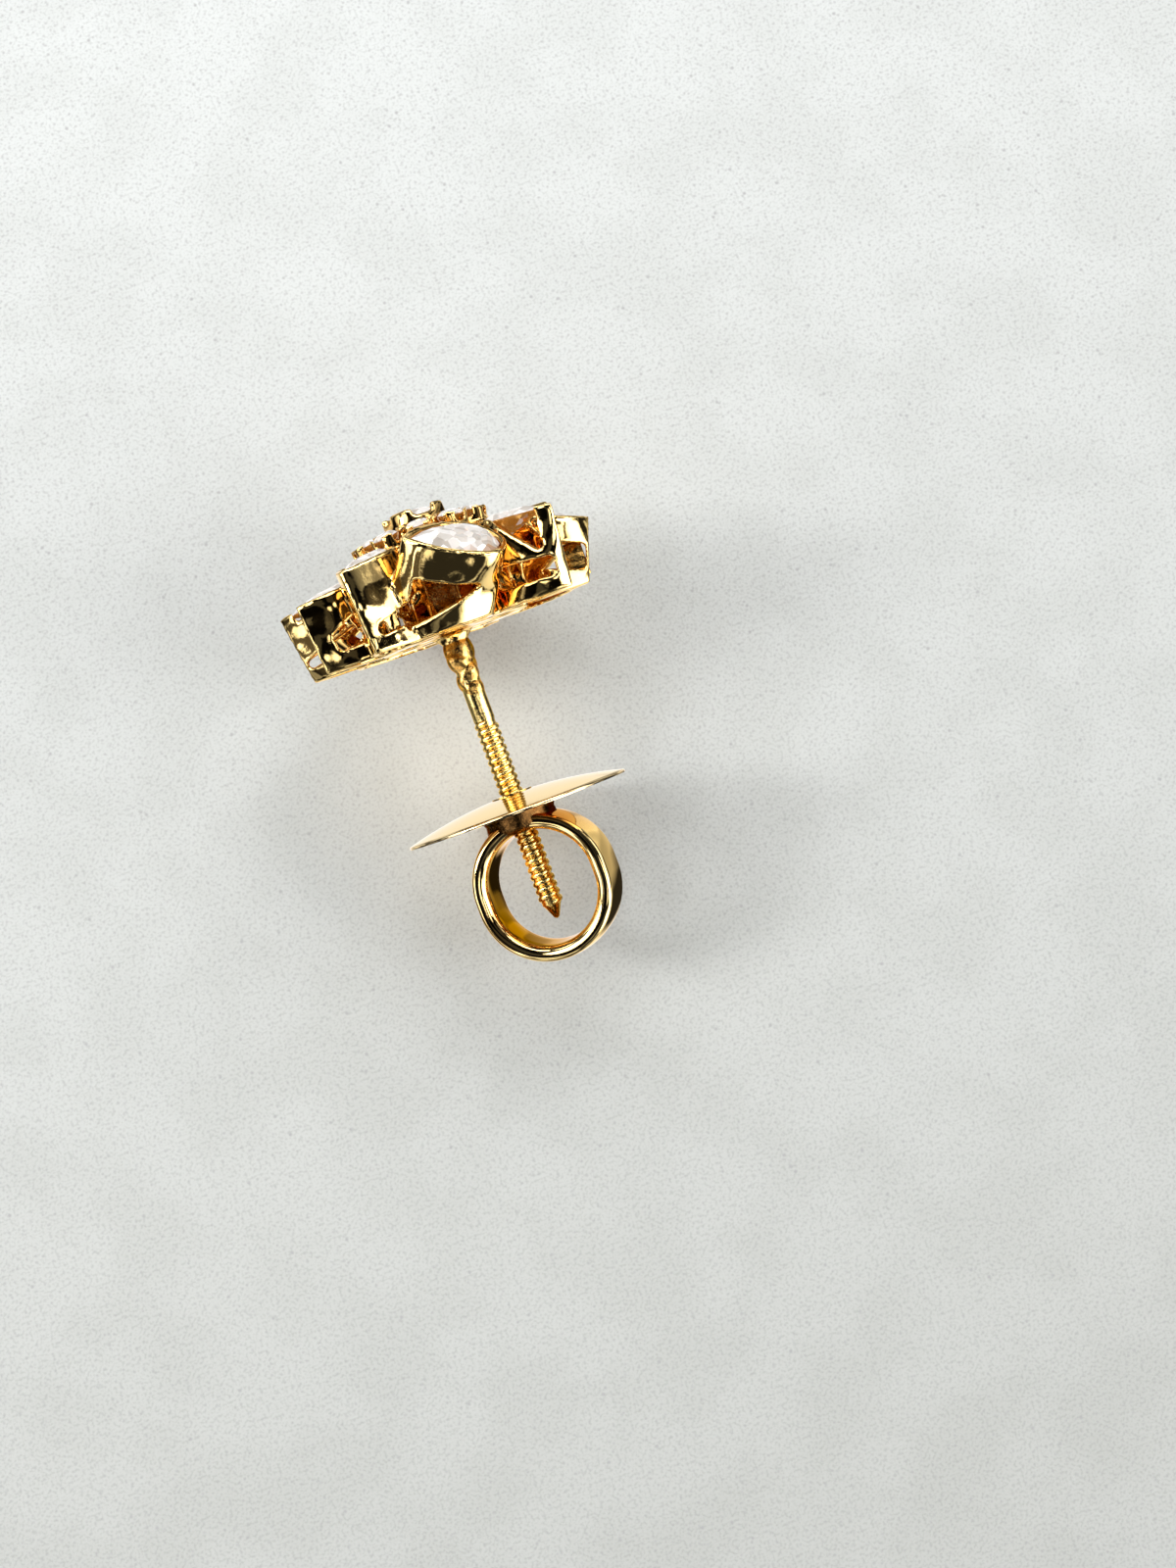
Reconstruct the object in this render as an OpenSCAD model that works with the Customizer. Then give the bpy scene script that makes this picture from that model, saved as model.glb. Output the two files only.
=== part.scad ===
// A cluster earring lying on its side: a domed flower of set stones on a
// threaded post, with a screw back made of a domed disc and a finger ring.
// It is drawn upright about its own axis, face up, and laid down at the end.

/* [Head] */
// Thickness of the metal round a petal stone
petal_wall = 0.27; // [0.2:0.01:0.32]
// Depth of a big pear's collet, from its rim down to the window
collet_h = 1.35; // [1:0.05:1.5]
// Height of the rail under a big pear's window
rail_h = 0.7; // [0.5:0.05:1]
// Thickness of the pierced back plate
back_t = 0.45; // [0.35:0.05:0.6]
// Outer radius of the inner gallery wall
gallery_r = 3.05; // [2.9:0.05:3.15]
// Height of the top of the inner gallery
gallery_h = 3.65; // [3.5:0.05:3.75]
// Distance from the post's axis to the middle of the head
head_shift = 0.15; // [0:0.05:0.25]

/* [Petal stones] */
// Length of a leaf stone, from its round end to its point
leaf_l = 2.75; // [2.5:0.05:2.9]
// Width of a leaf stone
leaf_w = 1.65; // [1.5:0.05:1.8]
// Length of a big pear stone
pear_l = 3.6; // [3.2:0.05:3.8]
// Width of a big pear stone
pear_w = 2.3; // [2:0.05:2.4]
// Distance from the axis to the middle of a big pear stone
pear_r = 4.75; // [4.65:0.05:4.9]

/* [Centre] */
// Radius of the centre stone
centre_stone_r = 0.95; // [0.8:0.05:1]
// Height of the claw tips round the centre stone
centre_h = 5.1; // [5:0.05:5.3]
// Number of accent stones in the ring round the centre
accents = 10; // [8:1:10]
// Radius of an accent stone
accent_stone_r = 0.52; // [0.45:0.01:0.54]
// Distance from the axis to the accent stones
accent_r = 2.3; // [2.25:0.05:2.4]
// Height of the accent collets
accent_h = 4.45; // [4.2:0.05:4.6]
// Outward lean of the accent stones
accent_lean = 12; // [8:1:16]

/* [Post] */
// Length of the post below the back plate
post_l = 11.9; // [11:0.1:13]
// Radius of the plain part of the post
post_r = 0.43; // [0.38:0.01:0.46]
// Radius of the thread's crests
crest_r = 0.48; // [0.46:0.01:0.5]
// Depth of the thread
thread_depth = 0.08; // [0.05:0.01:0.12]
// Distance between two crests
pitch = 0.3; // [0.25:0.05:0.4]
// Length of plain post between the head and the thread
plain_l = 3.6; // [3:0.1:4.5]

/* [Screw back] */
// Radius of the disc
disc_r = 4.5; // [4.2:0.1:4.9]
// Distance from the back plate down to the disc's rim
disc_drop = 7.3; // [7:0.1:8]
// Rise of the disc's dome toward the head
dome_rise = 0.6; // [0.4:0.05:0.7]
// Thickness of the disc in the middle
disc_t = 0.26; // [0.2:0.02:0.34]
// Thickness of the disc at its rim
disc_edge = 0.1; // [0.08:0.01:0.2]
// Inner radius of the finger ring
loop_r = 2.1; // [2:0.05:2.3]
// Extra length of the finger ring along the post
loop_stretch = 0.4; // [0.1:0.05:0.5]
// Thickness of the finger ring at the middle of its band
loop_t = 0.62; // [0.5:0.02:0.7]
// Thickness of the finger ring at the edges of its band
loop_edge = 0.16; // [0.12:0.02:0.24]
// Width of the finger ring's band
loop_w = 2.6; // [2.4:0.1:3.2]
// Turn of the finger ring about the post
loop_turn = -15; // [-30:1:30]
// Sideways distance from the post's axis to the middle of the finger ring
loop_side = 0.1; // [0:0.05:0.3]
// Outer radius of the threaded tube
tube_r = 0.82; // [0.76:0.02:0.9]

/* [Rest] */
// Slope of the post when the earring lies on its head and its disc
rest_slope = 9.12; // [8:0.01:11]
// Height of the axis above the floor where it leaves the back plate
rest_height = 5.616; // [5:0.001:6.5]
// Distance along the floor from the back plate to the middle of the length
rest_middle = 4.03; // [3:0.01:5]
// Sideways distance from the post's axis to the middle of the width
rest_side = -0.217; // [-0.5:0.001:0.5]

/* [Hidden] */
// Columns of the petal tables
AZIMUTH = 0;  // degrees round the axis, counted from straight up as it lies
RIM = 1;      // height of the rim at the middle of the stone
LEAN = 2;     // outward lean of the petal
TIP = 3;      // distance from the head's middle to a leaf's tip
DEPTH = 4;    // depth of a leaf's collet above the outer end of its windows
INNER = 5;    // the same at their inner end
RAIL = 6;     // height of the rail under a leaf's windows
LEG = 7;      // distance from a leaf's point to its windows
NOTCH = 8;    // depth of the notch in each flank of a leaf, beside its tip
SWAY = 3;     // sideways lean of a big pear
leaf_table = [
  [55, 3.45, 6, 6.15, 1.95, 1.95, 0.75, 0, 1.6],
  [86, 3.05, 19, 6.5, 1.1, 1.1, 1.1, -0.2, 0],
  [165.5, 3.3, 14, 6.35, 0.95, 1.05, 0.85, 0.05, 0.45],
  [194.5, 3.3, 14, 6.35, 0.95, 1.05, 0.85, 0.05, 0.45],
  [270, 3.1, 9, 6.35, 2.0, 1.6, 0.85, -0.2, 0.45],
  [303, 3.0, 6, 6.55, 1.55, 0.85, 0.75, 0.3, 0],
  [327, 3.6, 8, 6.35, 2.4, 2.0, 0.8, 0, 0],
];
pear_table = [
  [13, 3.2, 36, -20],
  [127, 3.1, 22, -20],
  [232, 3.0, 22, -20],
];
gap = 0.03;            // clearance between a stone and its collet
stone_drop = 0.12;     // a girdle lies this far below the rim
girdle_t = 0.06;       // thickness of a petal stone's girdle
ledge_w = 0.14;        // width of the ledge under a petal stone
ledge_t = 0.3;         // depth of that ledge
leg_w = 0.55;          // metal left beside a window at a leaf's round end
notch_leg = 0.2;       // distance from a leaf's point to its notch
notch_floor = 0.2;     // width of a notch at its bottom
ledge_slope = 0.9;     // slope of a stone's pavilion next to its girdle
accent_drop = 0.2;     // an accent stone's girdle lies this far below its claws
centre_drop = 0.39;    // the centre stone's girdle lies this far below its claws
centre_ledge = 0.15;   // width of the ledge under the centre stone
crown_h = 0.3;         // crown height over the stone's half width
pavilion_h = 0.86;     // pavilion depth over the stone's half width
table_size = 0.58;     // table width over the stone's width
eps = 0.02;            // overlap where two shapes are joined
tube_bore = crest_r + 0.04;
run_gap = 0.02;        // clearance between the tube and the disc
loop_drop = disc_drop + 0.3;    // top of the ring's outside
loop_mid = loop_drop + loop_t + loop_r + loop_stretch / 2;
tip_l = 0.62;          // length of the post's conical point
ridges = floor((post_l - tip_l - plain_l) / pitch);

$fn = 64;

leaf_names = [for (i = [1:len(leaf_table)]) str("leaf_stone_", i)];
pear_names = [for (i = [1:len(pear_table)]) str("pear_stone_", i)];
accent_names = [for (i = [1:accents]) str("accent_stone_", i)];

// Laying the upright earring down on its head and its disc

module laid() {
  translate([rest_side, rest_middle, rest_height])
    rotate([-(90 - rest_slope), 0, 0]) rotate([0, 0, -90]) children();
}

// Everything soldered or set above the post stands a little to its side
module head() {
  laid() translate([0, head_shift, 0]) children();
}

// Pear outlines: a half circle and two long arcs that meet in a point on +X.
// The middle of the length is at the origin, and grow widens it all round.

function pear_side(l, w) = (pow(l - w / 2, 2) + w * w / 4) / w;
function pear_tip(l, w, grow) =
  (w - l) / 2 + sqrt(pow(pear_side(l, w) + grow, 2) - pow(pear_side(l, w) - w / 2, 2));

module pear(l, w, grow = 0) {
  side = pear_side(l, w);
  translate([(w - l) / 2, 0]) union() {
    circle(w / 2 + grow);
    intersection() {
      translate([0, w / 2 - side]) circle(side + grow);
      translate([0, side - w / 2]) circle(side + grow);
      translate([0, -w]) square([l + w, 2 * w]);
    }
  }
}

// Distance from the middle of the round end to a pear's outline at angle a
function pear_polar(l, w, a) =
  let (d = pear_side(l, w) - w / 2, s = abs(sin(a)))
  cos(a) <= 0.0001 ? w / 2 : sqrt(d * d * s * s + pow(pear_side(l, w), 2) - d * d) - d * s;

// A brilliant cut stone on a pear or round outline (round when l equals w).
// Its girdle's lower edge is at z = 0.

module brilliant(l, w, girdle = girdle_t) {
  r = w / 2;
  crown = girdle + crown_h * r;
  star_size = 0.8;
  star_z = girdle + (1 - star_size * cos(22.5)) * crown_h * r / (1 - table_size);
  low_size = 0.3;
  low_z = -(1 - low_size * cos(22.5)) * pavilion_h * r;
  function at(k, size, z) =
    let (a = k * 22.5, p = pear_polar(l, w, a) * size)
    [(w - l) / 2 + p * cos(a), p * sin(a), z];
  points = concat(
    [for (k = [0:15]) at(k, 1, 0)],
    [for (k = [0:15]) at(k, 1, girdle)],
    [for (k = [0:7]) at(2 * k, table_size, crown)],
    [for (k = [0:7]) at(2 * k + 1, star_size, star_z)],
    [for (k = [0:7]) at(2 * k + 1, low_size, low_z)],
    [[(w - l) / 2, 0, -pavilion_h * r]]
  );
  low = 0;
  top = 16;
  table = 32;
  star = 40;
  under = 48;
  culet = 56;
  function n8(k) = (k + 8) % 8;
  function n16(k) = (k + 16) % 16;
  faces = concat(
    [[for (k = [7:-1:0]) table + k]],
    [for (k = [0:7]) [table + k, table + n8(k + 1), star + k]],
    [for (k = [0:7]) [table + k, star + k, top + 2 * k]],
    [for (k = [0:7]) [table + k, top + 2 * k, star + n8(k - 1)]],
    [for (k = [0:7]) [star + k, top + n16(2 * k + 1), top + 2 * k]],
    [for (k = [0:7]) [star + k, top + n16(2 * k + 2), top + n16(2 * k + 1)]],
    [for (k = [0:15]) [top + k, top + n16(k + 1), low + n16(k + 1)]],
    [for (k = [0:15]) [top + k, low + n16(k + 1), low + k]],
    [for (k = [0:7]) [under + k, low + 2 * k, low + n16(2 * k + 1)]],
    [for (k = [0:7]) [under + k, low + n16(2 * k + 1), low + n16(2 * k + 2)]],
    [for (k = [0:7]) [culet, low + 2 * k, under + k]],
    [for (k = [0:7]) [culet, under + n8(k - 1), low + 2 * k]]
  );
  polyhedron(points, faces);
}

// Places: each one brings its children from a stone's own frame, rim at z = 0

module leaf_place(row) {
  reach = pear_tip(leaf_l, leaf_w, gap + petal_wall) * cos(row[LEAN]);
  rotate([0, 0, row[AZIMUTH]]) translate([row[TIP] - reach, 0, row[RIM]])
    rotate([0, row[LEAN], 0]) children();
}

module pear_place(row) {
  rotate([0, 0, row[AZIMUTH]]) translate([pear_r, 0, row[RIM]])
    rotate([0, row[LEAN], 0]) rotate([row[SWAY], 0, 0]) rotate([0, 0, -90]) children();
}

module accent_place(i) {
  rotate([0, 0, 360 * i / accents]) translate([accent_r, 0, accent_h])
    rotate([0, accent_lean, 0]) children();
}

// Metal of one petal, its seat for the stone and the space below the seat

module petal_body(l, w) {
  translate([0, 0, -6]) linear_extrude(6) pear(l, w, gap + petal_wall);
}

module petal_hollow(l, w) {
  seat = stone_drop + girdle_t + ledge_slope * ledge_w + gap;
  translate([0, 0, -seat]) linear_extrude(1) pear(l, w, gap);
  translate([0, 0, -seat - ledge_t - eps]) linear_extrude(1) pear(l, w, -ledge_w);
  translate([0, 0, -7]) linear_extrude(7 - seat - ledge_t) pear(l, w, gap);
}

// Openings through both flanks of a leaf: a window between its collet, rail
// and legs, and a notch that parts the collet from its tip
module leaf_window(row) {
  across = leaf_w + 1;
  inner = leg_w - leaf_l / 2;
  outer = leaf_l / 2 - row[LEG];
  notch_out = leaf_l / 2 - notch_leg;
  low = (row[RAIL] - row[RIM]) / cos(row[LEAN]);
  rotate([90, 0, 0]) translate([0, 0, -across / 2]) linear_extrude(across) {
    polygon([[inner, low], [outer, low], [outer, -row[DEPTH]], [inner, -row[INNER]]]);
    if (row[NOTCH] > 0) polygon([
      [notch_out - notch_floor - row[NOTCH], 0.1], [notch_out, 0.1],
      [notch_out, -row[NOTCH]], [notch_out - notch_floor, -row[NOTCH]]
    ]);
  }
}

// A three-cornered window that widens toward the pointed end
module pear_window(row) {
  foot = -row[RIM] / cos(row[SWAY]);
  slant = tan(row[SWAY]);
  left = -0.22 * pear_l;
  right = pear_l / 2 - 0.2;
  across = pear_w + 1;
  rotate([90, 0, 0]) translate([0, 0, -across / 2]) linear_extrude(across) polygon([
    [left, -collet_h], [right, -collet_h - 0.15],
    [right, foot + slant * right + back_t],
    [0.3 * pear_l, foot + slant * 0.3 * pear_l + rail_h]
  ]);
}

module flower_petals() {
  difference() {
    union() {
      for (row = leaf_table) leaf_place(row) petal_body(leaf_l, leaf_w);
      for (row = pear_table) pear_place(row) petal_body(pear_l, pear_w);
    }
    for (row = leaf_table) leaf_place(row) {
      petal_hollow(leaf_l, leaf_w);
      leaf_window(row);
    }
    for (row = pear_table) pear_place(row) {
      petal_hollow(pear_l, pear_w);
      pear_window(row);
    }
    translate([0, 0, -8]) cylinder(r = 20, h = 8);
    translate([0, 0, -1]) cylinder(r = gallery_r - 0.15, h = 6);
  }
}

// The wall, floor and roof inside the ring of petals, all pierced

module gallery() {
  wall = 0.3;
  door_w = 1;
  door_h = gallery_h - back_t - 1.1;
  back_hole_r = 0.42;
  roof_hole_r = 0.36;
  difference() {
    cylinder(r = gallery_r, h = gallery_h);
    translate([0, 0, back_t]) cylinder(r = gallery_r - wall, h = gallery_h - back_t - wall);
    for (i = [0:accents - 1]) rotate([0, 0, 360 * i / accents]) {
      translate([2, -door_w / 2, back_t + wall]) cube([2, door_w, door_h]);
      translate([accent_r - 0.25, 0, -1]) cylinder(r = back_hole_r, h = 2);
      translate([accent_r, 0, gallery_h - 1]) cylinder(r = roof_hole_r, h = 2);
    }
    translate([0, 0, 1]) cylinder(r = centre_stone_r - centre_ledge, h = 4);
  }
}

module accent_collets() {
  wall = 0.14;
  depth = 1.05;
  seat = accent_drop + ledge_slope * wall + gap;
  slot_w = 0.34;
  difference() {
    for (i = [0:accents - 1]) accent_place(i)
      translate([0, 0, -depth]) cylinder(r = accent_stone_r + wall, h = depth);
    for (i = [0:accents - 1]) accent_place(i) {
      translate([0, 0, -seat]) cylinder(r = accent_stone_r + gap, h = 1);
      translate([0, 0, -2]) cylinder(r = accent_stone_r - wall, h = 3);
      for (a = [0, 90]) rotate([0, 0, a])
        translate([-1, -slot_w / 2, -seat - 0.07]) cube([2, slot_w, 1]);
    }
  }
}

// The raised collet in the middle: four claws over four round windows
module centre_collet() {
  outer = centre_stone_r + 0.32;
  foot = gallery_h - 0.3;
  claw_gap = 0.84;
  claw_h = 0.32;
  seat = centre_drop + ledge_slope * centre_ledge + gap;
  difference() {
    translate([0, 0, foot]) cylinder(r = outer, h = centre_h - foot);
    translate([0, 0, centre_h - seat]) cylinder(r = centre_stone_r + gap, h = 2);
    translate([0, 0, 1]) cylinder(r = centre_stone_r - centre_ledge, h = 6);
    for (a = [20, 110]) rotate([0, 0, a]) {
      translate([-2, -claw_gap / 2, centre_h - claw_h]) cube([4, claw_gap, 1]);
      translate([-2, 0, gallery_h + 0.42]) rotate([0, 90, 0]) cylinder(r = 0.3, h = 4);
    }
  }
}

// The post, turned in one piece with its solder fillet, ridges and point
module post() {
  root_r = crest_r - thread_depth;
  thread_low = tip_l - post_l;
  point_r = 0.05;
  solder_l = 1.1;
  drop_r = post_r + 0.08;
  neck_r = post_r + 0.06;
  foot_r = post_r + 0.4;
  rotate_extrude() polygon(concat(
    [[0, back_t], [0, -post_l], [point_r, -post_l], [root_r, thread_low]],
    [for (i = [0:ridges - 1]) each [
      [crest_r, thread_low + (i + 0.4) * pitch],
      [crest_r, thread_low + (i + 0.55) * pitch],
      [root_r, thread_low + (i + 0.95) * pitch]]],
    [[post_r, -plain_l], [post_r, -solder_l], [drop_r, -0.65 * solder_l],
     [neck_r, -0.35 * solder_l], [foot_r, 0], [foot_r, back_t]]
  ));
}

module flower_setting() {
  color("gold") union() {
    head() union() {
      flower_petals();
      gallery();
      accent_collets();
      centre_collet();
    }
    laid() post();
  }
}

module centre_stone() {
  color("white") head() translate([0, 0, centre_h - centre_drop])
    brilliant(2 * centre_stone_r, 2 * centre_stone_r);
}

module leaf_stone(row) {
  color("white") head() leaf_place(row)
    translate([0, 0, -stone_drop - girdle_t]) brilliant(leaf_l, leaf_w);
}

module pear_stone(row) {
  color("white") head() pear_place(row)
    translate([0, 0, -stone_drop - girdle_t]) brilliant(pear_l, pear_w);
}

module accent_stone(i) {
  color("white") head() accent_place(i)
    translate([0, 0, -accent_drop]) brilliant(2 * accent_stone_r, 2 * accent_stone_r, 0.04);
}

// The screw back

function dome_radius(rise) = (disc_r * disc_r + rise * rise) / (2 * rise);

module domed_disc() {
  under_rise = dome_rise - disc_t + disc_edge;
  translate([0, 0, -disc_drop]) rotate_extrude() intersection() {
    difference() {
      translate([0, dome_rise - dome_radius(dome_rise)]) circle(dome_radius(dome_rise), $fn = 128);
      translate([0, under_rise - disc_edge - dome_radius(under_rise)])
        circle(dome_radius(under_rise), $fn = 128);
    }
    translate([0, -disc_edge]) square([disc_r, 2]);
  }
}

// Half round section of the finger ring, flat inside, on the ring's +X side
module loop_section() {
  bulge = loop_t - loop_edge;
  arc_r = (loop_w * loop_w / 4 + bulge * bulge) / (2 * bulge);
  translate([loop_r, 0]) union() {
    translate([0, -loop_w / 2]) square([loop_edge, loop_w]);
    intersection() {
      translate([loop_t - arc_r, 0]) circle(arc_r, $fn = 128);
      translate([loop_edge - eps, -loop_w / 2]) square([loop_t, loop_w]);
    }
  }
}

module finger_ring() {
  translate([0, loop_side, -loop_mid]) rotate([0, 0, loop_turn]) rotate([0, 90, 0]) {
    translate([-loop_stretch / 2, 0, 0]) rotate([0, 0, 90])
      rotate_extrude(angle = 180) loop_section();
    translate([loop_stretch / 2, 0, 0]) rotate([0, 0, -90])
      rotate_extrude(angle = 180) loop_section();
    for (side = [0, 180]) rotate([side, 0, 0])
      translate([-loop_stretch / 2, 0, 0]) rotate([90, 0, 90])
        linear_extrude(loop_stretch) loop_section();
  }
}

// Solder that fills the corner between the disc and the finger ring
module back_fillet() {
  foot = -loop_drop - loop_t / 2;
  translate([0, 0, foot])
    cylinder(r1 = tube_r + 0.1, r2 = tube_r + 0.5, h = -disc_drop + dome_rise - disc_t - foot);
}

module screw_back() {
  color("goldenrod") laid() difference() {
    union() {
      domed_disc();
      finger_ring();
      back_fillet();
    }
    translate([0, 0, -disc_drop - 2]) cylinder(r = tube_r + run_gap, h = 4);
  }
}

// The threaded tube that runs on the post and carries the disc and ring
module thread_tube() {
  color("gold") laid() difference() {
    translate([0, 0, -loop_drop - loop_t + 0.02])
      cylinder(r = tube_r, h = loop_drop + loop_t - disc_drop + dome_rise);
    translate([0, 0, -disc_drop - 2]) cylinder(r = tube_bore, h = 4);
  }
}

flower_setting();
centre_stone();
for (i = [0:len(leaf_table) - 1])
  leaf_stone(leaf_table[i]);
for (i = [0:len(pear_table) - 1])
  pear_stone(pear_table[i]);
for (i = [0:accents - 1])
  accent_stone(i);
thread_tube();
screw_back();
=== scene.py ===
import math

import bpy
from mathutils import Matrix, Vector


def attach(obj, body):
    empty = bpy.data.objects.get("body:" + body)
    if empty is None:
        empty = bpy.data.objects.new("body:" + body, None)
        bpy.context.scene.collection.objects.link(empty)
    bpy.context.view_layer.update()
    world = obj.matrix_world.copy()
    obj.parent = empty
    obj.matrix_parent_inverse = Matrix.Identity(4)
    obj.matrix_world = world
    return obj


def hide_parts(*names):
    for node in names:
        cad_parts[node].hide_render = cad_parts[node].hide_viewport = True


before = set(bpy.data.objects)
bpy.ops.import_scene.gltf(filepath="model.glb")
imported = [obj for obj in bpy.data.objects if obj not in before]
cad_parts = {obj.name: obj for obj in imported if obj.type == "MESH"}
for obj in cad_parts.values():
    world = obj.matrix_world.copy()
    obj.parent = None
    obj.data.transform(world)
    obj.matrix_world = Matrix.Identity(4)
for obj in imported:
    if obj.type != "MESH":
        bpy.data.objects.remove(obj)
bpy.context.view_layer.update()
print("frame loaded")

scene = bpy.context.scene

# Where the upright earring's own frame lies: middle of the back plate, slope of the post
layDown = {
    "backPlate": (-0.217, 4.03, 5.616),
    "slope": 9.12,
    "millimetre": 0.001,
}
uprightFrame = (
    Matrix.Scale(layDown["millimetre"], 4)
    @ Matrix.Translation(layDown["backPlate"])
    @ Matrix.Rotation(math.radians(layDown["slope"] - 90), 4, "X")
    @ Matrix.Rotation(math.radians(-90), 4, "Z")
)

# For all pieces: how near two vertices are one, the share of the way that a softening step
# goes, and the angle up to which faces are shaded as one
handValues = {
    "weldReach": 0.0005,
    "softenShare": 0.5,
    "smoothAngle": 40,
}


# Small helpers for working by hand, in millimetres in the upright frame
def deselectAll():
    for o in bpy.context.selected_objects:
        o.select_set(False)


def takeUp(piece):
    deselectAll()
    piece.select_set(True)
    bpy.context.view_layer.objects.active = piece


def nameIt(name):
    piece = bpy.context.active_object
    piece.name = name
    piece.data.name = name
    return piece


def applyPlace(piece):
    takeUp(piece)
    bpy.ops.object.transform_apply(location=True, rotation=True, scale=True)


def applyScale(piece, scale):
    piece.scale = scale
    applyPlace(piece)


def addModifier(piece, kind, **values):
    takeUp(piece)
    modifier = piece.modifiers.new(kind.title(), kind)
    for key, value in values.items():
        setattr(modifier, key, value)
    bpy.ops.object.modifier_apply(modifier=modifier.name)


# One skin over all of a piece, with its edges softened
def meltTogether(piece, values):
    addModifier(piece, "REMESH", mode="VOXEL", voxel_size=values["cellSize"])
    addModifier(piece, "SMOOTH", factor=handValues["softenShare"], iterations=values["softening"])


def joinAs(name, pieces):
    deselectAll()
    for piece in pieces:
        piece.select_set(True)
    bpy.context.view_layer.objects.active = pieces[0]
    bpy.ops.object.join()
    return nameIt(name)


def finishWith(piece, material):
    piece.data.materials.clear()
    piece.data.materials.append(material)


# From millimetres upright to metres as it lies, and onto its body
def settle(piece, body, material, smoothAngle=handValues["smoothAngle"]):
    piece.matrix_world = uprightFrame @ piece.matrix_world
    applyPlace(piece)
    bpy.ops.object.shade_smooth_by_angle(angle=math.radians(smoothAngle))
    finishWith(piece, material)
    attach(piece, body)


# In edit mode: an open end gets a face
def closeEnds():
    bpy.ops.mesh.select_all(action="DESELECT")
    bpy.ops.mesh.select_non_manifold()
    bpy.ops.mesh.edge_face_add()


# In edit mode: all faces look outwards, and the mode is left
def turnOutwards():
    bpy.ops.mesh.select_all(action="SELECT")
    bpy.ops.mesh.normals_make_consistent(inside=False)
    bpy.ops.object.mode_set(mode="OBJECT")


# Rings of vertices pulled along z, each station being (radius, z)
def turnProfile(name, stations, segments, closed=False):
    deselectAll()
    radius, height = stations[0]
    bpy.ops.mesh.primitive_circle_add(vertices=segments, radius=radius, location=(0, 0, 0))
    piece = nameIt(name)
    bpy.ops.object.mode_set(mode="EDIT")
    bpy.ops.mesh.select_all(action="SELECT")
    bpy.ops.transform.translate(value=(0, 0, height))
    for nextRadius, nextHeight in stations[1:]:
        bpy.ops.mesh.extrude_region_move(
            TRANSFORM_OT_translate={"value": (0, 0, nextHeight - height)})
        grow = nextRadius / radius
        bpy.ops.transform.resize(value=(grow, grow, 1), center_override=(0, 0, nextHeight))
        radius, height = nextRadius, nextHeight
    if not closed:
        bpy.ops.mesh.edge_face_add()
    bpy.ops.mesh.select_all(action="SELECT")
    bpy.ops.mesh.remove_doubles(threshold=handValues["weldReach"])
    if not closed:
        closeEnds()
    turnOutwards()
    return piece


# Node helpers: a socket is fed by another socket or by a plain value
def feed(tree, socket, source):
    if isinstance(source, bpy.types.NodeSocket):
        tree.links.new(source, socket)
    else:
        socket.default_value = source


def feedAll(tree, node, feeds):
    for key, source in feeds.items():
        feed(tree, node.inputs[key], source)


def addNode(tree, kind, feeds, **settings):
    node = tree.nodes.new("ShaderNode" + kind)
    for key, value in settings.items():
        setattr(node, key, value)
    feedAll(tree, node, feeds)
    return node


def addNoise(tree, place, size, detail):
    feeds = {"Vector": place, "Scale": size, "Detail": detail}
    return addNode(tree, "TexNoise", feeds).outputs["Fac"]


def mapRange(tree, value, start, end, low=0.0, high=1.0, **settings):
    feeds = {"Value": value, "From Min": start, "From Max": end, "To Min": low, "To Max": high}
    return addNode(tree, "MapRange", feeds, **settings).outputs["Result"]


def mixColour(tree, share, first, second, blend="MIX"):
    feeds = {"Factor": share, "A": first, "B": second}
    return addNode(tree, "Mix", feeds, data_type="RGBA", blend_type=blend).outputs["Result"]


def useMath(tree, operation, first, second):
    return addNode(tree, "Math", {0: first, 1: second}, operation=operation).outputs["Value"]


def useVectors(tree, operation, first, second, output="Vector"):
    feeds = {0: first, "Scale" if operation == "SCALE" else 1: second}
    return addNode(tree, "VectorMath", feeds, operation=operation).outputs[output]


def setStops(ramp, stops):
    elements = ramp.color_ramp.elements
    while len(elements) < len(stops):
        elements.new(0.5)
    for element, (position, colour) in zip(elements, stops):
        element.position = position
        element.color = colour


# Shader group for gold: slow waves and fine grain, with painted shade that deepens the tint in
# sheltered places and in a placed pool
skinValues = {
    "inputs": [("Wave Size", "NodeSocketFloat"), ("Grain Size", "NodeSocketFloat"),
               ("Wave Share", "NodeSocketFloat"), ("Smoothest", "NodeSocketFloat"),
               ("Roughest", "NodeSocketFloat"), ("Bright", "NodeSocketColor"),
               ("Shade Tint", "NodeSocketColor"), ("Shade Pool Place", "NodeSocketVector"),
               ("Shade Pool Reach", "NodeSocketFloat")],
    "outputs": [("Color", "NodeSocketColor"), ("Roughness", "NodeSocketFloat"),
                ("Height", "NodeSocketFloat")],
    "noShadePool": 0.00001,
    "waveDetail": 0.0,
    "grainDetail": 4.0,
    "grainSpread": (0.35, 0.65),
    "shelterSamples": 4,
    "shelterReach": 0.0022,
    "shelterPower": 1.6,
}


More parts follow.
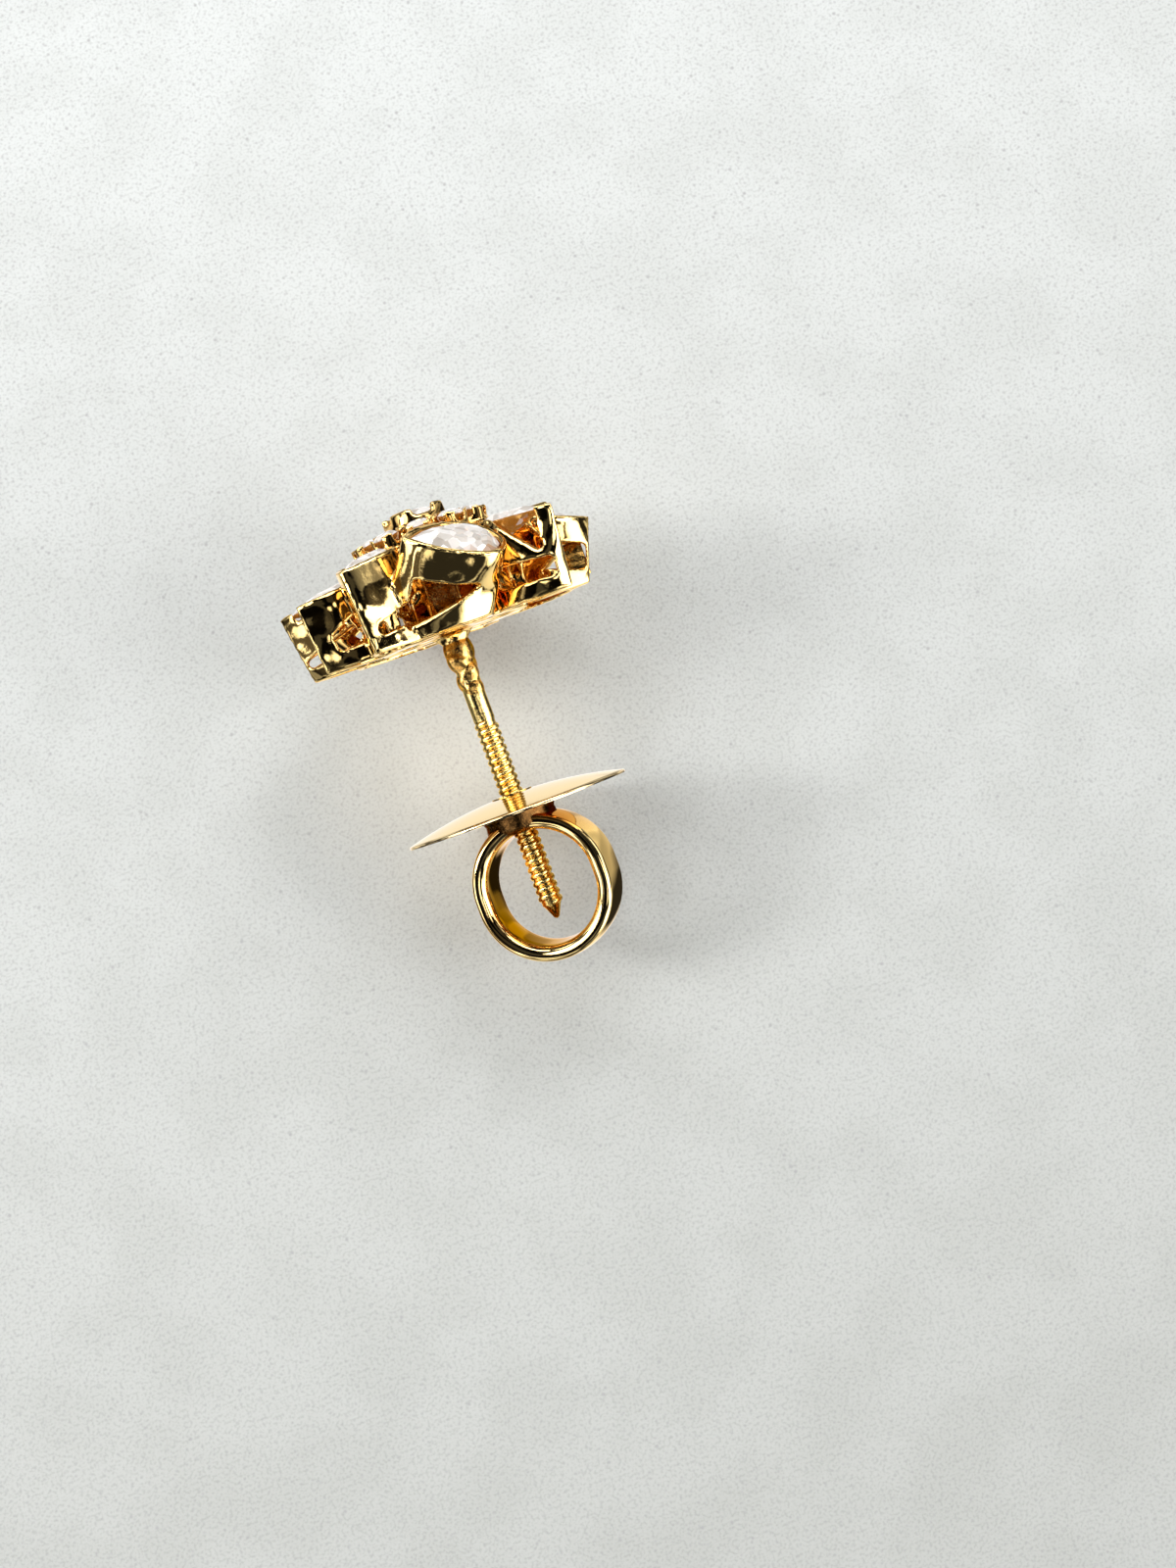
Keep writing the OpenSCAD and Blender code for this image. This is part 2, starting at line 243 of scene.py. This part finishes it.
def buildMetalSkin(values):
    tree = bpy.data.node_groups.new("metalSkin", "ShaderNodeTree")
    for way, sockets in (("INPUT", values["inputs"]), ("OUTPUT", values["outputs"])):
        for socketName, kind in sockets:
            tree.interface.new_socket(socketName, in_out=way, socket_type=kind)
    tree.interface.items_tree["Shade Pool Reach"].default_value = values["noShadePool"]
    given = tree.nodes.new("NodeGroupInput").outputs
    result = tree.nodes.new("NodeGroupOutput")
    place = addNode(tree, "TexCoord", {}).outputs["Object"]
    wave = addNoise(tree, place, given["Wave Size"], values["waveDetail"])
    grain = addNoise(tree, place, given["Grain Size"], values["grainDetail"])
    height = addNode(tree, "Mix", {"Factor": given["Wave Share"], "A": grain, "B": wave},
                     data_type="FLOAT").outputs["Result"]
    roughness = mapRange(
        tree, grain, *values["grainSpread"], given["Smoothest"], given["Roughest"])
    # Painted shade: where ambient occlusion finds shelter, the tint goes toward the shade tint
    sheltered = addNode(tree, "AmbientOcclusion", {"Distance": values["shelterReach"]},
                        samples=values["shelterSamples"]).outputs["AO"]
    openness = useMath(tree, "POWER", sheltered, values["shelterPower"])
    # Painted shade: a pool of shade tint around a placed point
    shadePoolWay = useVectors(tree, "DISTANCE", place, given["Shade Pool Place"], "Value")
    shadePool = mapRange(
        tree, shadePoolWay, 0.0, given["Shade Pool Reach"], interpolation_type="SMOOTHSTEP")
    unshadedShare = useMath(tree, "MULTIPLY", openness, shadePool)
    tint = mixColour(tree, unshadedShare, given["Shade Tint"], given["Bright"])
    feedAll(tree, result, {"Color": tint, "Roughness": roughness, "Height": height})
    return tree


metalSkin = buildMetalSkin(skinValues)


def newMaterial(name):
    material = bpy.data.materials.new(name)
    material.use_nodes = True
    return material, material.node_tree, material.node_tree.nodes["Principled BSDF"]


def makeGold(name, look):
    material, tree, shader = newMaterial(name)
    skin = addNode(tree, "Group", {}, node_tree=metalSkin)
    for key in skin.inputs.keys():
        if key in look:
            skin.inputs[key].default_value = look[key]
    relief = addNode(tree, "Bump", {
        "Strength": look["reliefStrength"], "Distance": look["reliefDepth"],
        "Height": skin.outputs["Height"]})
    feedAll(tree, shader, {
        "Metallic": 1.0, "Specular Tint": look["Edge"],
        "Base Color": skin.outputs["Color"], "Roughness": skin.outputs["Roughness"],
        "Normal": relief.outputs["Normal"]})
    return material


castGold = makeGold("castGold", {
    "Wave Size": 540.0, "Grain Size": 7000.0, "Wave Share": 0.996,
    "Smoothest": 0.02, "Roughest": 0.08,
    "Bright": (1.0, 0.73, 0.29, 1), "Shade Tint": (0.52, 0.21, 0.02, 1), "Edge": (1.0, 0.88, 0.66, 1),
    "reliefStrength": 1.0, "reliefDepth": 0.00065,
})
discGold = makeGold("discGold", {
    "Wave Size": 350.0, "Grain Size": 9000.0, "Wave Share": 0.97,
    "Smoothest": 0.02, "Roughest": 0.10,
    "Bright": (0.92, 0.72, 0.40, 1), "Shade Tint": (0.60, 0.30, 0.07, 1), "Edge": (0.94, 0.87, 0.74, 1),
    "reliefStrength": 0.3, "reliefDepth": 0.00005,
})
# The ring's golds carry painted shade: a pool of shade tint placed at the ring's lower inside
ringGold = makeGold("ringGold", {
    "Wave Size": 300.0, "Grain Size": 9000.0, "Wave Share": 0.995,
    "Smoothest": 0.01, "Roughest": 0.05,
    "Bright": (1.0, 0.75, 0.33, 1), "Shade Tint": (0.40, 0.14, 0.01, 1), "Edge": (1.0, 0.82, 0.52, 1),
    "Shade Pool Place": (-0.00203, -0.00722, 0.0034), "Shade Pool Reach": 0.0021,
    "reliefStrength": 0.8, "reliefDepth": 0.00030,
})
# A darker copy of the ring's gold for its inner faces: painted shade
ringInsideShade = makeGold("ringInsideShade", {
    "Wave Size": 300.0, "Grain Size": 9000.0, "Wave Share": 0.995,
    "Smoothest": 0.02, "Roughest": 0.07,
    "Bright": (0.90, 0.58, 0.20, 1), "Shade Tint": (0.26, 0.09, 0.01, 1), "Edge": (0.86, 0.60, 0.28, 1),
    "Shade Pool Place": (-0.00165, -0.00760, 0.0038), "Shade Pool Reach": 0.0026,
    "reliefStrength": 0.8, "reliefDepth": 0.00030,
})
screwGold = makeGold("screwGold", {
    "Wave Size": 1500.0, "Grain Size": 12000.0, "Wave Share": 0.7,
    "Smoothest": 0.03, "Roughest": 0.13,
    "Bright": (1.0, 0.75, 0.28, 1), "Shade Tint": (0.78, 0.46, 0.09, 1), "Edge": (1.0, 0.88, 0.6, 1),
    "reliefStrength": 0.6, "reliefDepth": 0.00006,
})
solderGold = makeGold("solderGold", {
    "Wave Size": 1500.0, "Grain Size": 8000.0, "Wave Share": 0.9,
    "Smoothest": 0.04, "Roughest": 0.18,
    "Bright": (0.80, 0.48, 0.14, 1), "Shade Tint": (0.10, 0.035, 0.01, 1), "Edge": (0.8, 0.55, 0.25, 1),
    "reliefStrength": 1.0, "reliefDepth": 0.00025,
})
# Near-black gold for the solder seat: painted shade where the disc overhangs the ring
shadedSolderGold = makeGold("shadedSolderGold", {
    "Wave Size": 1100.0, "Grain Size": 7000.0, "Wave Share": 0.92,
    "Smoothest": 0.08, "Roughest": 0.28,
    "Bright": (0.26, 0.13, 0.04, 1), "Shade Tint": (0.05, 0.02, 0.005, 1), "Edge": (0.45, 0.26, 0.10, 1),
    "reliefStrength": 1.0, "reliefDepth": 0.00025,
})


# Cut stone: flat cells with a tone and a lean of their own, amber where it faces the head as a
# painted reflection of the gold, and a painted glow
def makeDiamond(name, look):
    material, tree, shader = newMaterial(name)
    place = addNode(tree, "TexCoord", {}).outputs
    cells = addNode(
        tree, "TexVoronoi", {"Vector": place["Object"], "Scale": look["cellSize"]}).outputs["Color"]
    flash = addNode(tree, "SeparateColor", {"Color": cells}).outputs
    tone = mixColour(tree, flash["Red"], look["clear"], look["warm"])
    # Painted reflection: faces turned toward the head take the amber of the gold
    facing = useVectors(tree, "DOT_PRODUCT", place["Normal"], look["frontWay"], "Value")
    body = mixColour(tree, mapRange(tree, facing, *look["frontSpread"]), look["paintedGoldReflection"], tone)
    lean = useVectors(tree, "SUBTRACT", cells, look["meanCell"])
    leaned = useVectors(tree, "SCALE", lean, look["facetLean"])
    upright = addNode(tree, "NewGeometry", {}).outputs["Normal"]
    facet = addNode(
        tree, "VectorMath", {0: useVectors(tree, "ADD", upright, leaned)}, operation="NORMALIZE")
    # The stone glows in its own tones: painted glow
    feedAll(tree, shader, {
        "Transmission Weight": look["clearness"], "IOR": look["ior"],
        "Base Color": body, "Emission Color": body, "Emission Strength": look["paintedGlow"],
        "Normal": facet.outputs["Vector"],
        "Roughness": mapRange(
            tree, flash["Green"], 0.0, 1.0, look["smoothest"], look["roughest"])})
    return material


diamond = makeDiamond("diamond", {
    "ior": 2.2, "cellSize": 2700.0, "clearness": 0.45,
    "clear": (1.0, 1.0, 1.0, 1), "warm": (0.50, 0.47, 0.42, 1),
    "smoothest": 0.0, "roughest": 0.03, "paintedGlow": 0.18,
    "meanCell": (0.5, 0.5, 0.5), "facetLean": 0.60,
    "frontWay": (0, 0.987, 0.159), "frontSpread": (0.02, 0.25),
    "paintedGoldReflection": (0.42, 0.17, 0.02, 1),
})
print("materials made")

# The cast head: a merged copy of the solid, with its edges melted soft as cast gold has them
headValues = {
    "cutBelow": -0.85,
    "cellSize": 0.065,
    "softening": 22,
    "keepShare": 0.6,
    "smoothAngle": 75,
}


def makeHead(values):
    deselectAll()
    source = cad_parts["flower_setting"]
    piece = bpy.data.objects.new("head_setting", source.data.copy())
    scene.collection.objects.link(piece)
    piece.matrix_world = uprightFrame.inverted()
    applyPlace(piece)
    bpy.ops.object.mode_set(mode="EDIT")
    bpy.ops.mesh.select_all(action="SELECT")
    bpy.ops.mesh.remove_doubles(threshold=handValues["weldReach"])
    bpy.ops.mesh.select_all(action="SELECT")
    bpy.ops.mesh.bisect(plane_co=(0, 0, values["cutBelow"]), plane_no=(0, 0, -1),
                        use_fill=True, clear_outer=True)
    bpy.ops.object.mode_set(mode="OBJECT")
    meltTogether(piece, values)
    addModifier(piece, "DECIMATE", decimate_type="COLLAPSE", ratio=values["keepShare"])
    settle(piece, "head", castGold, values["smoothAngle"])
    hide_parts("flower_setting")
    return piece


head = makeHead(headValues)
print("head made:", len(head.data.polygons), "faces")

# The post, turned from its root down to its point, with the ridge wound round it
postValues = {
    "segments": 48,
    "plainRadius": 0.43,
    "plainStops": (0.6, 1.0, 2.2),
    "plainLength": 3.6,
    "coreRadius": 0.40,
    "coreStep": 0.08,
    "coreMiddle": 7.5,
    "length": 11.9,
    "pointLength": 0.62,
    "pointShoulder": (0.82, 0.1),
    "pointEnd": (0.12, 0.06),
    "tipRadius": 0.04,
    "crestRadius": 0.48,
    "pitch": 0.3,
    "ridgeHalfWidth": 0.12,
    "ridgeVertices": 10,
    "ridgeSteps": 40,
    "ridgeTop": 0.1,
    "ridgeFoot": 0.05,
}


def makePost(values):
    core = values["coreRadius"]
    pointTop = -values["length"] + values["pointLength"]
    narrower, lower = values["pointShoulder"]
    endRadius, endHeight = values["pointEnd"]
    stations = [(values["plainRadius"], -stop) for stop in values["plainStops"]]
    stations += [
        (values["plainRadius"], -values["plainLength"]),
        (core, -values["plainLength"] - values["coreStep"]),
        (core, -values["coreMiddle"]),
        (core, pointTop),
        (core * narrower, pointTop - lower),
        (endRadius, -values["length"] + endHeight),
        (values["tipRadius"], -values["length"]),
    ]
    piece = turnProfile("ear_post", stations, values["segments"])
    deselectAll()
    turns = (-values["plainLength"] - values["ridgeTop"] - pointTop) / values["pitch"]
    bpy.ops.mesh.primitive_circle_add(
        vertices=values["ridgeVertices"], radius=1, fill_type="NOTHING",
        location=(core, 0, pointTop + values["ridgeFoot"]), rotation=(math.pi / 2, 0, 0))
    ridge = nameIt("thread_ridge")
    applyScale(ridge, (values["crestRadius"] - core, values["ridgeHalfWidth"], 1))
    addModifier(ridge, "SCREW", axis="Z", angle=math.tau, screw_offset=values["pitch"],
                iterations=int(turns), steps=values["ridgeSteps"],
                render_steps=values["ridgeSteps"], use_normal_calculate=True)
    takeUp(ridge)
    bpy.ops.object.mode_set(mode="EDIT")
    closeEnds()
    turnOutwards()
    piece = joinAs("ear_post", [piece, ridge])
    settle(piece, "head", screwGold)
    return piece


post = makePost(postValues)
print("post made:", len(post.data.polygons), "faces")

# Solder that ran down the post's root: drops of different size, melted into one. Each is
# (x, y, z, radius)
dropValues = {
    "drops": [(0.0, 0.0, -0.72, 0.62), (0.12, -0.12, -1.02, 0.50), (-0.14, 0.08, -1.30, 0.46),
              (0.10, 0.06, -1.62, 0.43), (-0.04, -0.10, -1.95, 0.43), (0.05, 0.03, -2.30, 0.435)],
    "roundness": 3,
    "stretch": 1.25,
    "cellSize": 0.045,
    "softening": 5,
    "smoothAngle": 75,
}


def makeDrops(values):
    deselectAll()
    made = []
    for number, (x, y, z, radius) in enumerate(values["drops"]):
        bpy.ops.mesh.primitive_ico_sphere_add(
            subdivisions=values["roundness"], radius=radius, location=(x, y, z))
        drop = nameIt("solder_drop_%d" % (number + 1))
        applyScale(drop, (1, 1, values["stretch"]))
        made.append(drop)
    piece = joinAs("root_solder", made)
    meltTogether(piece, values)
    settle(piece, "head", solderGold, values["smoothAngle"])
    return piece


drops = makeDrops(dropValues)
print("root solder made:", len(drops.data.polygons), "faces")

# Thin webs inside the head, which close the view right through two of its windows: amber gold
# sheets put where there is only shade, as painted shade. Each is (middle, size)
webValues = {
    "webs": [((0.38, 5.34, 1.05), (0.13, 1.18, 1.40)), ((1.00, 0.30, 1.10), (0.16, 1.95, 1.70))],
    "roundness": 0.05,
    "segments": 3,
}


def makeWebs(values):
    made = []
    for number, (place, size) in enumerate(values["webs"]):
        bpy.ops.mesh.primitive_cube_add(size=1, location=place)
        web = nameIt("web_%d" % (number + 1))
        applyScale(web, size)
        addModifier(web, "BEVEL", width=values["roundness"], segments=values["segments"])
        made.append(web)
    piece = joinAs("inner_shade_webs", made)
    settle(piece, "head", solderGold)
    return piece


webs = makeWebs(webValues)
print("inner webs made:", len(webs.data.polygons), "faces")

# The screw back's domed disc
discValues = {
    "segments": 160,
    "radius": 4.5,
    "drop": 7.3,
    "rise": 0.6,
    "thickness": 0.26,
    "edge": 0.12,
    "rimInset": 0.04,
    "rimRound": 0.01,
    "rimDrop": 0.02,
    "holeRadius": 0.84,
    "rings": 22,
}


def domeHeight(r, radius, rise):
    bow = (radius * radius + rise * rise) / (2 * rise)
    return rise - bow + math.sqrt(bow * bow - r * r)


def makeDisc(values):
    radius, edge, hole = values["radius"], values["edge"], values["holeRadius"]
    underRise = values["rise"] - values["thickness"] + edge
    span = radius - values["rimInset"] - hole
    radii = [hole + span * (k / values["rings"]) for k in range(values["rings"] + 1)]
    rimRadius = radius - values["rimRound"]
    stations = [(r, domeHeight(r, radius, values["rise"])) for r in radii]
    stations += [(rimRadius, -values["rimDrop"]), (radius, -edge / 2),
                 (rimRadius, -edge + values["rimRound"])]
    stations += [(r, domeHeight(r, radius, underRise) - edge) for r in reversed(radii)]
    stations.append(stations[0])
    stations = [(r, z - values["drop"]) for r, z in stations]
    piece = turnProfile("back_disc", stations, values["segments"], closed=True)
    settle(piece, "back", discGold)
    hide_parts("screw_back")
    return piece


disc = makeDisc(discValues)
print("disc made:", len(disc.data.polygons), "faces")

# The finger ring, turned about its own axis, drawn long, turned and set under the disc
ringValues = {
    "segments": 160,
    "inner": 2.1,
    "thickness": 0.62,
    "innerFillet": 0.38,
    "innerStep": 15,
    "innerStops": (0.5, 0, -0.5),
    "outerFillet": 0.20,
    "outerStep": 9,
    "bulge": 0.05,
    "bulgeStops": (0.75, 0.5, 0.25, 0, -0.25, -0.5, -0.75),
    "width": 2.6,
    "stretch": 0.4,
    "middleReach": 0.001,
    "turn": -15,
    "insideBelow": -0.9,
    "side": 0.1,
    "top": 7.6,
}


def arcStations(r, z, size, angles):
    return [(r + size * math.cos(math.radians(a)), z + size * math.sin(math.radians(a)))
            for a in angles]


def makeRing(values):
    half = values["width"] / 2
    inner, outer = values["inner"], values["inner"] + values["thickness"]
    small, large = values["innerFillet"], values["outerFillet"]
    innerStep, outerStep = values["innerStep"], values["outerStep"]
    flat = half - large
    stations = arcStations(inner + small, half - small, small, range(180, 89, -innerStep))
    stations += arcStations(outer - large, flat, large, range(90, -1, -outerStep))
    stations += [(outer + values["bulge"] * math.cos(math.pi / 2 * t), flat * t)
                 for t in values["bulgeStops"]]
    stations += arcStations(outer - large, -flat, large, range(0, -91, -outerStep))
    stations += arcStations(inner + small, small - half, small, range(-90, -181, -innerStep))
    stations += [(inner, (small - half) * t) for t in values["innerStops"]]
    stations.append(stations[0])
    piece = turnProfile("finger_ring", stations, values["segments"], closed=True)
    bpy.ops.object.mode_set(mode="EDIT")
    for side in (-1, 1):
        bpy.ops.mesh.select_all(action="DESELECT")
        bpy.ops.object.mode_set(mode="OBJECT")
        for vertex in piece.data.vertices:
            vertex.select = vertex.co.x * side > values["middleReach"]
        bpy.ops.object.mode_set(mode="EDIT")
        bpy.ops.transform.translate(value=(side * values["stretch"] / 2, 0, 0))
    bpy.ops.object.mode_set(mode="OBJECT")
    middle = values["top"] + values["thickness"] + values["inner"] + values["stretch"] / 2
    turn = math.radians(values["turn"])
    piece.matrix_world = (
        Matrix.Translation((0, values["side"], -middle))
        @ Matrix.Rotation(turn, 4, "Z")
        @ Matrix.Rotation(math.radians(90), 4, "Y"))
    settle(piece, "back", ringGold)
    shadeInside(piece, turn, middle, values)
    return piece


# The ring's inner faces take a darker copy of the gold, as painted shade
def shadeInside(piece, turn, middle, values):
    piece.data.materials.append(ringInsideShade)
    along = uprightFrame.to_3x3() @ Vector((math.cos(turn), math.sin(turn), 0))
    axis = along.normalized()
    centre = uprightFrame @ Vector((0, values["side"], -middle))
    for face in piece.data.polygons:
        out = face.center - centre
        out -= out.dot(axis) * axis
        if face.normal.dot(out.normalized()) < values["insideBelow"]:
            face.material_index = 1


ring = makeRing(ringValues)
print("ring made:", len(ring.data.polygons), "faces")

# Solder that fills the corner between disc and ring, in near-black gold as painted shade under the
# disc; its stations being (radius, z)
solderValues = {
    "segments": 64,
    "stations": [(0.86, -8.25), (1.2, -8.2), (1.46, -7.95), (1.42, -7.65), (1.55, -7.35),
                 (1.75, -7.12), (1.7, -7.0), (0.86, -6.9)],
    "smoothAngle": 70,
}


def makeSolder(values):
    stations = values["stations"] + [values["stations"][0]]
    piece = turnProfile("solder_seat", stations, values["segments"], closed=True)
    settle(piece, "back", shadedSolderGold, values["smoothAngle"])
    return piece


solder = makeSolder(solderValues)
print("solder made:", len(solder.data.polygons), "faces")

# Nodes that stay as they are get their finish
for nodeName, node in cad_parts.items():
    if "stone" in nodeName:
        finishWith(node, diamond)
finishWith(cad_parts["thread_tube"], screwGold)
print("stones and tube finished")

# Floor: pale, nearly smooth, with fine darker specks, painted lighter toward its far end as painted
# light, and with a painted warm pool of light near the post.
# Dots are (dimensions, size, whole within, gone beyond, strength)
floorValues = {
    "size": 1.2,
    "farPale": (0.522, 0.542, 0.539, 1),
    "nearPale": (0.399, 0.411, 0.399, 1),
    "farWay": (0.06, 0.998, 0),
    "reach": 0.034,
    "grainSize": 8500.0,
    "grainDetail": 5.0,
    "grainSpread": (0.49, 0.63),
    "grainTone": (0.85, 0.85, 0.85, 1),
    "mottleSize": 260.0,
    "mottleDetail": 3.0,
    "mottleSpread": (0.42, 0.60),
    "mottleTone": (0.955, 0.955, 0.95, 1),
    "dots": [("2D", 2400.0, 0.06, 0.19, 0.46), ("3D", 1000.0, 0.04, 0.10, 0.75)],
    "dotTone": (0.30, 0.30, 0.31, 1),
    "waveSize": 700.0,
    "waveDetail": 6.0,
    "reliefStrength": 0.4,
    "reliefDepth": 0.00006,
    "roughness": 0.75,
    "glow": 0.13,
    # Painted light: a warm pool of glow on the floor near the post, standing in for light thrown
    # off the gold
    "litPoolPlace": (-0.0022, -0.0005, 0),
    "litPoolReach": 0.0075,
    "litPoolStrength": 0.22,
    "warm": (1.0, 0.90, 0.72),
}


def makePaleFloor(values):
    material, tree, shader = newMaterial("paleFloor")
    place = addNode(tree, "TexCoord", {}).outputs["Object"]
    # Painted light: the floor's tone runs lighter toward its far end
    farther = useVectors(tree, "DOT_PRODUCT", place, values["farWay"], "Value")
    along = mapRange(tree, farther, -values["reach"], values["reach"])
    tone = mixColour(tree, along, values["nearPale"], values["farPale"])
    grain = addNoise(tree, place, values["grainSize"], values["grainDetail"])
    grainShare = mapRange(tree, grain, *values["grainSpread"])
    tone = mixColour(tree, grainShare, tone, values["grainTone"], "MULTIPLY")
    mottle = addNoise(tree, place, values["mottleSize"], values["mottleDetail"])
    mottleShare = mapRange(tree, mottle, *values["mottleSpread"])
    tone = mixColour(tree, mottleShare, tone, values["mottleTone"], "MULTIPLY")
    shares = []
    for dimensions, size, whole, gone, strength in values["dots"]:
        dots = addNode(tree, "TexVoronoi", {"Vector": place, "Scale": size},
                       voronoi_dimensions=dimensions)
        shares.append(mapRange(tree, dots.outputs["Distance"], whole, gone, strength, 0.0))
    tone = mixColour(tree, useMath(tree, "MAXIMUM", *shares), tone, values["dotTone"])
    wave = addNoise(tree, place, values["waveSize"], values["waveDetail"])
    relief = addNode(tree, "Bump", {
        "Strength": values["reliefStrength"], "Distance": values["reliefDepth"],
        "Height": useMath(tree, "ADD", wave, grain)})
    # Painted light: warm glow fading out from the placed point
    litPoolWay = useVectors(tree, "DISTANCE", place, values["litPoolPlace"], "Value")
    litPoolShare = mapRange(tree, litPoolWay, 0.0, values["litPoolReach"], values["litPoolStrength"], 0.0,
                      interpolation_type="SMOOTHSTEP")
    paintedLightPool = useVectors(tree, "SCALE", values["warm"], litPoolShare)
    glow = useVectors(tree, "SCALE", tone, values["glow"])
    feedAll(tree, shader, {
        "Base Color": tone, "Roughness": values["roughness"],
        "Normal": relief.outputs["Normal"],
        "Emission Color": useVectors(tree, "ADD", glow, paintedLightPool), "Emission Strength": 1.0})
    return material


# The floor isn't seen in mirrors: the bright gold sees the room's lower half instead
def makeFloor(values):
    deselectAll()
    bpy.ops.mesh.primitive_plane_add(size=values["size"], location=(0, 0, 0))
    piece = nameIt("floor")
    finishWith(piece, makePaleFloor(values))
    piece.visible_glossy = False


makeFloor(floorValues)
print("floor made")

# Soft boxes over the floor: (name, place, size, power, colour), each aimed at the middle
studioValues = [
    ("leftBox", (-0.20, 0.06, 0.15), (0.06, 0.07), 0.28, (1, 0.99, 0.97)),
    ("farBox", (0.09, 0.25, 0.24), (0.30, 0.16), 0.74, (1, 1, 1)),
    ("rightBox", (0.22, -0.10, 0.20), (0.10, 0.12), 0.15, (0.97, 0.99, 1)),
]


def addSoftBox(name, place, size, power, colour):
    light = bpy.data.lights.new(name, "AREA")
    light.shape = "RECTANGLE"
    light.size, light.size_y = size
    light.energy = power
    light.color = colour
    lamp = bpy.data.objects.new(name, light)
    scene.collection.objects.link(lamp)
    lamp.location = place
    lamp.rotation_mode = "QUATERNION"
    lamp.rotation_quaternion = (-Vector(place)).to_track_quat("-Z", "Y")


for box in studioValues:
    addSoftBox(*box)

# Room: bright all round above the horizon, dark overhead where the camera is, broken up by
# patches. Spots are (direction, degrees whole, degrees faded, tone), and bands are (height
# from 0 to 1, tone, share of the patches)
roomValues = {
    "strength": 2.6,
    "patchSize": 3.4,
    "patchDetail": 1.0,
    "patchShift": (3.1, 0.4, 1.7),
    "patchStops": [(0.48, (0.04, 0.035, 0.03, 1)), (0.55, (1.0, 1.0, 1.0, 1))],
    "spotTint": (1.0, 0.98, 0.95),
    "spots": [((-0.55, 0.25, 0.80), 14, 17, 1.6), ((0.54, -0.43, 0.72), 6, 10, 1.5),
              ((0.33, -0.22, 0.92), 4, 8, 1.2), ((0.70, -0.70, 0.0), 20, 28, 1.5),
              ((0.85, -0.35, 0.45), 12, 18, 1.4), ((-0.02, -0.90, 0.42), 14, 26, 0.01),
              ((0.35, -0.07, -0.93), 8, 14, 0.01), ((-0.03, -0.34, 0.94), 3, 7, 0.9),
              ((-0.36, -0.84, 0.40), 4, 8, 0.5)],
    "bands": [(0.0, 0.44, 0.1), (0.08, 0.44, 0.6), (0.24, 0.32, 1), (0.36, 0.10, 1),
              (0.46, 0.12, 1), (0.55, 0.50, 1), (0.66, 1.1, 1), (0.80, 1.1, 1),
              (0.845, 0.12, 1), (0.92, 0.02, 1)],
}


def makeRoom(values):
    world = bpy.data.worlds.new("room")
    scene.world = world
    world.use_nodes = True
    tree = world.node_tree
    way = addNode(tree, "TexCoord", {}).outputs["Generated"]
    upward = addNode(tree, "SeparateXYZ", {"Vector": way}).outputs["Z"]
    bands = addNode(tree, "ValToRGB", {"Fac": mapRange(tree, upward, -1.0, 1.0)})
    setStops(bands, [(position, (tone, tone, tone, patchShare))
                     for position, tone, patchShare in values["bands"]])
    shifted = useVectors(tree, "ADD", way, values["patchShift"])
    noise = addNoise(tree, shifted, values["patchSize"], values["patchDetail"])
    patches = addNode(tree, "ValToRGB", {"Fac": noise})
    setStops(patches, values["patchStops"])
    seen = mixColour(tree, bands.outputs["Alpha"], bands.outputs["Color"],
                     patches.outputs["Color"], "MULTIPLY")
    for direction, whole, faded, tone in values["spots"]:
        toward = useVectors(tree, "DOT_PRODUCT", way, Vector(direction).normalized(), "Value")
        within = mapRange(
            tree, toward, math.cos(math.radians(faded)), math.cos(math.radians(whole)))
        spot = [tone * share for share in values["spotTint"]] + [1]
        seen = mixColour(tree, within, seen, spot)
    feedAll(tree, tree.nodes["Background"], {"Color": seen, "Strength": values["strength"]})


makeRoom(roomValues)

# Camera as the photo was taken, nearly straight down from the head's back
cameraValues = {
    "place": (-0.00281, -0.01805, 0.11130),
    "azimuth": 20.54,
    "elevation": 81.59,
    "lens": 63.0,
    "nearest": 0.005,
    "farthest": 10,
}


def makeCamera(values):
    camera = bpy.data.objects.new("camera", bpy.data.cameras.new("camera"))
    scene.collection.objects.link(camera)
    turn, fall = math.radians(values["azimuth"]), math.radians(values["elevation"])
    level = math.cos(fall)
    forward = Vector((math.sin(turn) * level, math.cos(turn) * level, -math.sin(fall)))
    camera.location = values["place"]
    camera.rotation_mode = "QUATERNION"
    camera.rotation_quaternion = forward.to_track_quat("-Z", "Y")
    camera.data.lens = values["lens"]
    camera.data.clip_start = values["nearest"]
    camera.data.clip_end = values["farthest"]
    scene.camera = camera


makeCamera(cameraValues)
scene.view_settings.view_transform = "Standard"
print("studio and camera set")
